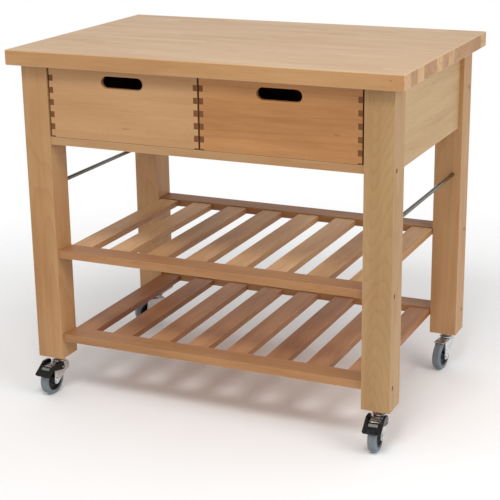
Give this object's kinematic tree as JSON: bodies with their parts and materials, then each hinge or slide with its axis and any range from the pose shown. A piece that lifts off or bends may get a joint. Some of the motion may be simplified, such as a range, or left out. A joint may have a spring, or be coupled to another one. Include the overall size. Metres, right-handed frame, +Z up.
{
  "type": "butcher block table",
  "caption": "Beech butcher block kitchen trolley on swivel casters, with box-jointed drawers under the top, slatted shelves and steel side rods.",
  "frame": {"origin": "floor level, under the middle of the whole plan outline, brake pedals included", "axes": "+X to the right along the worktop's length, -Y towards the drawers' front, +Z up"},
  "size_m": [1, 0.6754, 0.89],
  "materials": {
    "beech_top": "oiled, edge-glued staves",
    "beech_legs": "oiled solid posts",
    "beech_panels": "oiled, edge-glued boards",
    "beech_inner": "oiled rails",
    "beech_shelves": "oiled rails and slats, redder",
    "beech_drawers": "oiled boards, grain from side to side",
    "beech_drawer_sides": "oiled boards, dark end grain in the box joints",
    "drawer_inside": "plain inner boards",
    "rod_steel": "bright steel rod",
    "dark_fasteners": "bronzed steel",
    "zinc_fasteners": "zinc plated",
    "caster_steel": "bright zinc plated pressings",
    "hub_plastic": "black moulded",
    "tyre_rubber": "grey, smooth",
    "pedal_plastic": "black moulded"
  },
  "bodies": {
    "frame": {"worktop": "beech_top", "leg_front_left": "beech_legs", "leg_front_right": "beech_legs", "leg_back_left": "beech_legs", "leg_back_right": "beech_legs", "side_panel_left": "beech_panels", "side_panel_right": "beech_panels", "back_panel": "beech_panels", "drawer_rail": "beech_inner", "runner_left": "beech_inner", "runner_right": "beech_inner", "runner_centre": "beech_inner", "cleat_left": "beech_inner", "cleat_right": "beech_inner", "top_screws": "zinc_fasteners", "rod_left": "rod_steel", "rod_right": "rod_steel", "mid_rail_front": "beech_shelves", "mid_rail_back": "beech_shelves", "mid_slats": "beech_shelves", "low_rail_front": "beech_shelves", "low_rail_back": "beech_shelves", "low_slats": "beech_shelves", "connector_bolts": "dark_fasteners", "barrel_nuts": "zinc_fasteners", "caster_fl_stem": "caster_steel", "caster_fr_stem": "caster_steel", "caster_br_stem": "caster_steel", "caster_bl_stem": "caster_steel"},
    "drawer_left": {"drawer_left_front": "beech_drawers", "drawer_left_side_left": "beech_drawer_sides", "drawer_left_side_right": "beech_drawer_sides", "drawer_left_back": "drawer_inside", "drawer_left_bottom": "drawer_inside"},
    "drawer_right": {"drawer_right_front": "beech_drawers", "drawer_right_side_left": "beech_drawer_sides", "drawer_right_side_right": "beech_drawer_sides", "drawer_right_back": "drawer_inside", "drawer_right_bottom": "drawer_inside"},
    "swivel_fl": {"caster_fl_fork": "caster_steel", "caster_fl_axle": "caster_steel"},
    "wheel_fl": {"caster_fl_hub": "hub_plastic", "caster_fl_tyre": "tyre_rubber"},
    "swivel_fr": {"caster_fr_fork": "caster_steel", "caster_fr_axle": "caster_steel"},
    "wheel_fr": {"caster_fr_hub": "hub_plastic", "caster_fr_tyre": "tyre_rubber"},
    "swivel_br": {"caster_br_fork": "caster_steel", "caster_br_axle": "caster_steel"},
    "wheel_br": {"caster_br_hub": "hub_plastic", "caster_br_tyre": "tyre_rubber"},
    "swivel_bl": {"caster_bl_fork": "caster_steel", "caster_bl_axle": "caster_steel"},
    "wheel_bl": {"caster_bl_hub": "hub_plastic", "caster_bl_tyre": "tyre_rubber"},
    "pedal_fl": {"caster_fl_pedal": "pedal_plastic"},
    "pedal_fr": {"caster_fr_pedal": "pedal_plastic"}
  },
  "joints": [
    {"name": "drawer_left_slide", "type": "slide", "parent": "frame", "child": "drawer_left", "axis": [0, -1, 0], "range_m": [0, 0.38]},
    {"name": "drawer_right_slide", "type": "slide", "parent": "frame", "child": "drawer_right", "axis": [0, -1, 0], "range_m": [0, 0.38]},
    {"name": "caster_fl_swivel", "type": "hinge", "parent": "frame", "child": "swivel_fl", "pos_m": [-0.438, -0.26234, 0.08], "axis": [0, 0, 1], "continuous": true},
    {"name": "caster_fl_roll", "type": "hinge", "parent": "swivel_fl", "child": "wheel_fl", "pos_m": [-0.44088, -0.29521, 0.0375], "axis": [0.9962, -0.0872, 0], "continuous": true},
    {"name": "caster_fr_swivel", "type": "hinge", "parent": "frame", "child": "swivel_fr", "pos_m": [0.438, -0.26234, 0.08], "axis": [0, 0, 1], "continuous": true},
    {"name": "caster_fr_roll", "type": "hinge", "parent": "swivel_fr", "child": "wheel_fr", "pos_m": [0.43973, -0.29529, 0.0375], "axis": [0.9986, 0.0523, 0], "continuous": true},
    {"name": "caster_br_swivel", "type": "hinge", "parent": "frame", "child": "swivel_br", "pos_m": [0.438, 0.27766, 0.08], "axis": [0, 0, 1], "continuous": true},
    {"name": "caster_br_roll", "type": "hinge", "parent": "swivel_br", "child": "wheel_br", "pos_m": [0.43455, 0.24484, 0.0375], "axis": [0.9945, -0.1045, 0], "continuous": true},
    {"name": "caster_bl_swivel", "type": "hinge", "parent": "frame", "child": "swivel_bl", "pos_m": [-0.438, 0.27766, 0.08], "axis": [0, 0, 1], "continuous": true},
    {"name": "caster_bl_roll", "type": "hinge", "parent": "swivel_bl", "child": "wheel_bl", "pos_m": [-0.45693, 0.25063, 0.0375], "axis": [0.8192, -0.5736, 0], "continuous": true},
    {"name": "caster_fl_brake", "type": "hinge", "parent": "swivel_fl", "child": "pedal_fl", "pos_m": [-0.43922, -0.27628, 0.0695], "axis": [-0.9962, 0.0872, 0], "range_deg": [0, 14.5]},
    {"name": "caster_fr_brake", "type": "hinge", "parent": "swivel_fr", "child": "pedal_fr", "pos_m": [0.43873, -0.27632, 0.0695], "axis": [-0.9986, -0.0523, 0], "range_deg": [0, 14.5]}
  ]
}
